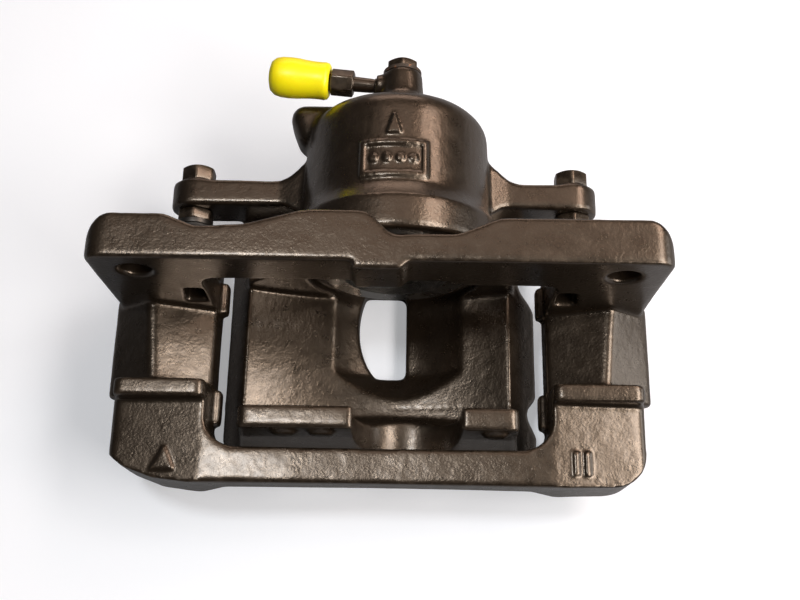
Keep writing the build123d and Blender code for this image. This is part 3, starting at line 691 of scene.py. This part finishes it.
def build_guide_bolts(paint):
    """Flanged hexagon heads behind the ears, with the threaded shank inside the pin."""
    for side in SIDES:
        node = f"guide_bolt_{side}"
        low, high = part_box(node)
        axis = node_centre(node)
        origin = (axis.x, 0, axis.z)
        flange = (high.x - low.x) / 2
        head_y = high.y - BOLT_HEAD
        under = head_y - BOLT_FLANGE
        section = [
            (0, under),
            (flange - 0.1 * MM, under),
            (flange, under + 0.5 * MM),
            (flange - 0.7 * MM, head_y - 0.2 * MM),
            (6.1 * MM, head_y + 0.5 * MM),
            (0, head_y + 0.5 * MM),
        ]
        parts = [
            turned("flange", arc_corners(section, 0.3 * MM), origin),
            hex_part("head", BOLT_FLATS, head_y - 0.5 * MM, high.y, origin, ALONG_Y),
            threaded("shank", *BOLT_THREAD, low.y + 0.5 * MM, under + 0.2 * MM, origin, ALONG_Y),
        ]
        bolt = joined(f"flange_bolt_{side}", parts)
        stand_in(bolt, node, paint)
        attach(bolt, "caliper")


def build_plug(paint):
    """The hexagon plug on top of the hose port."""
    low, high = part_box("hose_port_plug")
    axis = node_centre("hose_port_plug")
    origin = (axis.x, 0, axis.z)
    washer_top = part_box("hose_port_washer")[1].y
    seat = washer_top + 0.05 * MM
    collar = [
        (0, seat),
        (5.9 * MM, seat),
        (6.1 * MM, seat + 0.7 * MM),
        (5.2 * MM, seat + 1.2 * MM),
        (0, seat + 1.2 * MM),
    ]
    parts = [
        turned("collar", arc_corners(collar, 0.25 * MM), origin),
        hex_part("head", PLUG_FLATS, seat + 0.6 * MM, high.y, origin, ALONG_Y, chamfer=0.82),
        threaded("shank", *PLUG_THREAD, low.y + 0.3 * MM, seat + 0.1 * MM, origin, ALONG_Y),
    ]
    plug = joined("port_plug", parts)
    stand_in(plug, "hose_port_plug", paint)
    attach(plug, "caliper")


def build_bleed_screw(paint):
    """Cone and thread in the boss, a plain neck, the hexagon and a barbed nipple."""
    hex_low, hex_high = HEX_AT
    end = NIPPLE_AT - 0.1 * MM
    section = [
        (0, SEAT_AT),
        (2.3 * MM, SEAT_AT + 2.2 * MM),
        (2.7 * MM, THREAD_AT[1] + 1.4 * MM),
        (2.9 * MM, hex_low + 0.1 * MM),
        (3.5 * MM, hex_low + 0.4 * MM),
        (3.5 * MM, hex_high - 0.1 * MM),
        (2.6 * MM, hex_high + 0.9 * MM),
        (2.5 * MM, end - 4.5 * MM),
        (3.25 * MM, end - 3.9 * MM),
        (3.2 * MM, end - 3.1 * MM),
        (2.4 * MM, end),
        (0.9 * MM, end),
        (0.9 * MM, end - 6.9 * MM),
        (0, end - 6.9 * MM),
    ]
    parts = [
        turned("core", arc_corners(section, 0.3 * MM), BLEED_ORIGIN, BLEED_AXIS),
        threaded("thread", *BLEED_THREAD, *THREAD_AT, BLEED_ORIGIN, BLEED_AXIS),
        hex_part("head", BLEED_FLATS, *HEX_AT, BLEED_ORIGIN, BLEED_AXIS, chamfer_low=True),
    ]
    screw = joined("bleed_nipple", parts)
    stand_in(screw, "bleed_screw", paint)
    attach(screw, "bleed_screw")


def build_cap(rubber):
    """The moulded yellow cap: a rounded lip, a shallow waist and a bulbous closed end."""
    profile = [(radius * MM, along * MM) for radius, along in CAP_OUTLINE + CAP_CAVITY]
    cap = turned("dust_cap", profile, BLEED_ORIGIN, BLEED_AXIS)
    stand_in(cap, "bleed_cap", rubber)
    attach(cap, "bleed_cap")


# ================= materials =================
# The mix node's colour sockets share their names with its other sockets, so they go by place.
MIX_FIRST = 6
MIX_SECOND = 7
MIX_RESULT = 2


class Finish:
    """A node material under construction."""

    def __init__(self, name):
        self.material = bpy.data.materials.new(name)
        self.material.use_nodes = True
        self.tree = self.material.node_tree
        self.shader = self.tree.nodes["Principled BSDF"]
        self.place = self.node("ShaderNodeTexCoord").outputs["Object"]

    def node(self, kind, **inputs):
        made = self.tree.nodes.new(kind)
        for name, value in inputs.items():
            self.put(made.inputs[name.replace("_", " ")], value)
        return made

    def put(self, socket, value):
        if isinstance(value, bpy.types.NodeSocket):
            self.tree.links.new(value, socket)
        else:
            socket.default_value = value

    def set(self, name, value):
        self.put(self.shader.inputs[name], value)

    def noise(self, size, detail=3.0, stretch=(1, 1, 1)):
        """Noise between 0 and 1 whose features are about size metres wide."""
        place = self.node("ShaderNodeMapping", Vector=self.place, Scale=stretch).outputs[0]
        cloud = self.node("ShaderNodeTexNoise", Vector=place, Scale=1 / size, Detail=detail)
        return cloud.outputs["Fac"]

    def ramp(self, value, low, high, at_low=0.0, at_high=1.0):
        """Maps value from low..high to at_low..at_high, clamped."""
        made = self.node("ShaderNodeMapRange", Value=value)
        made.clamp = True
        made.inputs["From Min"].default_value = low
        made.inputs["From Max"].default_value = high
        made.inputs["To Min"].default_value = at_low
        made.inputs["To Max"].default_value = at_high
        return made.outputs[0]

    def mix(self, share, first, second):
        """Mixes two colours. Share is how much there is of the second one."""
        made = self.tree.nodes.new("ShaderNodeMix")
        made.data_type = "RGBA"
        self.put(made.inputs["Factor"], share)
        self.put(made.inputs[MIX_FIRST], first)
        self.put(made.inputs[MIX_SECOND], second)
        return made.outputs[MIX_RESULT]

    def times(self, first, second):
        made = self.tree.nodes.new("ShaderNodeMath")
        made.operation = "MULTIPLY"
        self.put(made.inputs[0], first)
        self.put(made.inputs[1], second)
        return made.outputs[0]

    def relief(self, low, high):
        """Runs from 0 to 1 between two shapes of surface: over 0.5 is an edge, under it a hollow."""
        sharp = self.node("ShaderNodeNewGeometry").outputs["Pointiness"]
        return self.ramp(sharp, low, high)

    def bump(self, layers):
        """Bumps from (height, depth in metres) layers, finest last."""
        normal = None
        for height, depth in layers:
            made = self.node("ShaderNodeBump", Height=height, Distance=depth, Strength=1.0)
            if normal is not None:
                self.put(made.inputs["Normal"], normal)
            normal = made.outputs["Normal"]
        self.set("Normal", normal)


def black_paint(name, grain):
    """Satin black paint with painted shade in its hollows. Grain is the depth of the casting's texture in metres.
    """
    finish = Finish(name)
    cloud = finish.noise(22 * MM)
    speck = finish.noise(0.8 * MM, 2.0)
    colour = finish.mix(cloud, (0.006, 0.0040, 0.0025, 1), (0.015, 0.0104, 0.0066, 1))
    colour = finish.mix(finish.ramp(speck, 0.62, 0.75, 0, 0.35), colour, (0.06, 0.048, 0.036, 1))
    patches = finish.noise(3 * MM)
    worn = finish.times(finish.relief(0.515, 0.56), finish.ramp(patches, 0.45, 0.65))
    colour = finish.mix(finish.times(worn, 0.5), colour, (0.12, 0.095, 0.07, 1))
    # Painted shade: the paint is darkened towards near black in the hollows and creases, where shade falls.
    painted_shade_in_hollows = finish.relief(0.49, 0.44)
    colour = finish.mix(finish.times(painted_shade_in_hollows, 0.25), colour, (0.004, 0.003, 0.002, 1))
    finish.set("Base Color", colour)
    finish.set("Specular Tint", (1.0, 0.81, 0.63, 1))
    finish.set("Roughness", finish.ramp(finish.noise(5 * MM, 4.0), 0.3, 0.7, 0.25, 0.37))
    finish.set("Coat Weight", 0.5)
    finish.set("Coat Roughness", 0.22)
    finish.set("Specular IOR Level", 0.9)
    finish.bump([
        (finish.noise(2.4 * MM, 3.0), grain * 0.2),
        (finish.noise(0.9 * MM, 3.0), grain * 0.75),
    ])
    return finish.material


def black_rubber():
    finish = Finish("black_rubber")
    dust = finish.ramp(finish.noise(6 * MM, 4.0), 0.45, 0.7, 0, 0.6)
    colour = finish.mix(dust, (0.016, 0.016, 0.016, 1), (0.055, 0.050, 0.045, 1))
    finish.set("Base Color", colour)
    finish.set("Roughness", finish.ramp(finish.noise(3 * MM), 0.3, 0.7, 0.5, 0.72))
    finish.bump([(finish.noise(0.5 * MM, 2.0), 0.03 * MM)])
    return finish.material


def yellow_cap():
    finish = Finish("yellow_cap")
    mottle = finish.noise(7 * MM, 2.0)
    colour = finish.mix(mottle, (0.93, 0.80, 0.002, 1), (0.98, 0.90, 0.012, 1))
    grime = finish.ramp(finish.noise(2.5 * MM, 4.0), 0.66, 0.8, 0, 0.35)
    colour = finish.mix(grime, colour, (0.55, 0.40, 0.02, 1))
    finish.set("Base Color", colour)
    finish.set("Roughness", finish.ramp(finish.noise(4 * MM), 0.3, 0.7, 0.30, 0.44))
    finish.set("Subsurface Weight", 0.25)
    finish.set("Subsurface Radius", (2.0 * MM, 1.4 * MM, 0.3 * MM))
    finish.set("Subsurface Scale", 1.0)
    finish.bump([(finish.noise(1.5 * MM, 2.0), 0.02 * MM)])
    return finish.material


def turned_steel(name, colour, roughness):
    """Ground or turned steel with fine marks round an axis along Y."""
    finish = Finish(name)
    marks = finish.noise(4 * MM, 4.0, stretch=(1, 40, 1))
    shade = finish.mix(marks, (*colour, 1), (*(0.8 * c for c in colour), 1))
    stain = finish.ramp(finish.noise(8 * MM, 5.0), 0.58, 0.72, 0, 0.5)
    finish.set("Base Color", finish.mix(stain, shade, (0.20, 0.14, 0.09, 1)))
    finish.set("Metallic", 1.0)
    finish.set("Roughness", finish.ramp(marks, 0.3, 0.7, roughness, roughness + 0.15))
    finish.bump([(marks, 0.01 * MM)])
    return finish.material


def dull_copper():
    finish = Finish("dull_copper")
    patches = finish.ramp(finish.noise(1.6 * MM, 4.0), 0.55, 0.70)
    finish.set("Base Color", finish.mix(patches, (0.045, 0.035, 0.028, 1), (0.42, 0.20, 0.11, 1)))
    finish.set("Metallic", finish.ramp(patches, 0, 1, 0.1, 0.9))
    finish.set("Roughness", finish.ramp(finish.noise(2 * MM), 0.3, 0.7, 0.35, 0.55))
    finish.bump([(finish.noise(1.0 * MM), 0.02 * MM)])
    return finish.material


def floor_finish():
    finish = Finish("pale_floor")
    cloud = finish.noise(120 * MM, 4.0)
    pale = finish.mix(cloud, (0.58, 0.63, 0.70, 1), (0.64, 0.69, 0.76, 1))
    in_view = finish.node("ShaderNodeLightPath").outputs["Is Camera Ray"]
    dim = finish.mix(FLOOR_BOUNCE, (0, 0, 0, 1), pale)
    finish.set("Base Color", finish.mix(in_view, dim, pale))
    finish.set("Roughness", finish.ramp(finish.noise(20 * MM), 0.3, 0.7, 0.7, 0.85))
    finish.set("Emission Color", (0.97, 0.98, 1.0, 1))
    finish.set("Emission Strength", finish.times(in_view, FLOOR_GLOW))
    finish.bump([(finish.noise(1.5 * MM, 2.0), 0.03 * MM)])
    return finish.material


def dress_node(node, material):
    """Gives a carried-over CAD node its material."""
    mesh = frame["nodes"][node].data
    if not mesh.materials:
        mesh.materials.append(material)
    for index in range(len(mesh.materials)):
        mesh.materials[index] = material


# ================= stage, light and camera =================
def add_floor():
    half = FLOOR_HALF
    level = cad_box[0].z
    corners = [(-half, -half), (half, -half), (half, half), (-half, half)]
    floor = link_mesh("floor", [(x, y, level) for x, y in corners], [(0, 1, 2, 3)])
    floor.data.materials.append(floor_finish())


def add_area_light(name, direction, distance, size, power, colour):
    """A soft box that shines on the middle of the object from a direction."""
    low, high = cad_box
    centre = (low + high) / 2
    toward = Vector(direction).normalized()
    lamp = bpy.data.lights.new(name, "AREA")
    lamp.shape = "RECTANGLE"
    lamp.size, lamp.size_y = size
    lamp.energy = power
    lamp.color = colour
    holder = bpy.data.objects.new(name, lamp)
    holder.location = centre + toward * distance
    holder.rotation_mode = "QUATERNION"
    holder.rotation_quaternion = toward.to_track_quat("Z", "Y")
    bpy.context.scene.collection.objects.link(holder)


def from_angles(azimuth, elevation):
    """A direction from degrees round +Z, counted from +X, and degrees above the floor."""
    turn = math.radians(azimuth)
    rise = math.radians(elevation)
    return (math.cos(turn) * math.cos(rise), math.sin(turn) * math.cos(rise), math.sin(rise))


def add_lights():
    """Soft boxes on the right, a small ceiling lamp, and weaker boxes behind and low down."""
    warm = (1.0, 0.89, 0.80)
    amber = (1.0, 0.74, 0.60)
    neutral = (1.0, 0.98, 0.96)
    soft = (0.24, 0.24)
    wide = (0.50, 0.30)
    small = (0.10, 0.12)
    add_area_light("box_front_right", from_angles(-38, 42), LAMP_DISTANCE, soft, 2.4, warm)
    add_area_light("box_right", from_angles(-15, 44), LAMP_DISTANCE, soft, 2.6, warm)
    add_area_light("box_high_right", from_angles(12, 52), LAMP_DISTANCE, soft, 2.5, warm)
    add_area_light("box_back_right", from_angles(40, 42), LAMP_DISTANCE, soft, 1.3, amber)
    add_area_light("ceiling_lamp", from_angles(170, 78), CEILING_DISTANCE, small, 2.2, neutral)
    add_area_light("box_above_back", from_angles(90, 62), LAMP_DISTANCE, wide, 0.45, amber)
    add_area_light("low_right", from_angles(0, 15), LAMP_DISTANCE, wide, 1.3, neutral)
    add_area_light("low_back", from_angles(90, 15), LAMP_DISTANCE, wide, 0.9, amber)


def add_room():
    """The room round the stage: dim where it lights the object, pale where the camera sees it."""
    world = bpy.data.worlds.new("studio")
    world.use_nodes = True
    tree = world.node_tree
    sky = tree.nodes["Background"]
    sky.inputs["Color"].default_value = (0.92, 0.95, 1.0, 1)
    seen = tree.nodes.new("ShaderNodeMapRange")
    seen.inputs["To Min"].default_value = ROOM_GLOW
    seen.inputs["To Max"].default_value = WALL_TONE
    in_view = tree.nodes.new("ShaderNodeLightPath").outputs["Is Camera Ray"]
    tree.links.new(in_view, seen.inputs["Value"])
    tree.links.new(seen.outputs[0], sky.inputs["Strength"])
    bpy.context.scene.world = world


def add_camera():
    """Above the hub side, leaning back towards the outboard end, as one looks down at a bench."""
    elevation = math.radians(CAMERA_ELEVATION)
    swing = math.radians(CAMERA_SWING)
    forward = Vector((
        math.sin(swing) * math.cos(elevation),
        math.cos(swing) * math.cos(elevation),
        -math.sin(elevation),
    ))
    lens = bpy.data.cameras.new("camera")
    lens.lens = CAMERA_LENS
    lens.sensor_width = 36.0
    lens.clip_start = 0.01
    camera = bpy.data.objects.new("camera", lens)
    camera.location = Vector(CAMERA_AIM) - forward * CAMERA_DISTANCE
    camera.rotation_mode = "QUATERNION"
    roll = Matrix.Rotation(math.radians(CAMERA_ROLL), 3, "Z").to_quaternion()
    camera.rotation_quaternion = forward.to_track_quat("-Z", "Y") @ roll
    bpy.context.scene.collection.objects.link(camera)
    bpy.context.scene.camera = camera


def build():
    cast_paint = black_paint("cast_black_paint", 0.14 * MM)
    fitting_paint = black_paint("fitting_black_paint", 0.05 * MM)
    rubber = black_rubber()
    build_castings(cast_paint)
    build_piston_boot(rubber)
    build_guide_boots(rubber)
    build_piston_seal(rubber)
    build_bush(rubber)
    build_guide_pins(fitting_paint, turned_steel("ground_pin", (0.10, 0.095, 0.09), 0.38))
    build_guide_bolts(fitting_paint)
    build_plug(fitting_paint)
    build_bleed_screw(fitting_paint)
    build_cap(yellow_cap())
    dress_node("piston", turned_steel("ground_piston", (0.62, 0.61, 0.59), 0.22))
    dress_node("piston_boot_ring", turned_steel("ring_wire", (0.5, 0.5, 0.5), 0.3))
    dress_node("hose_port_washer", dull_copper())


build()
add_floor()
add_lights()
add_room()
add_camera()
bpy.context.scene.view_settings.view_transform = "Standard"
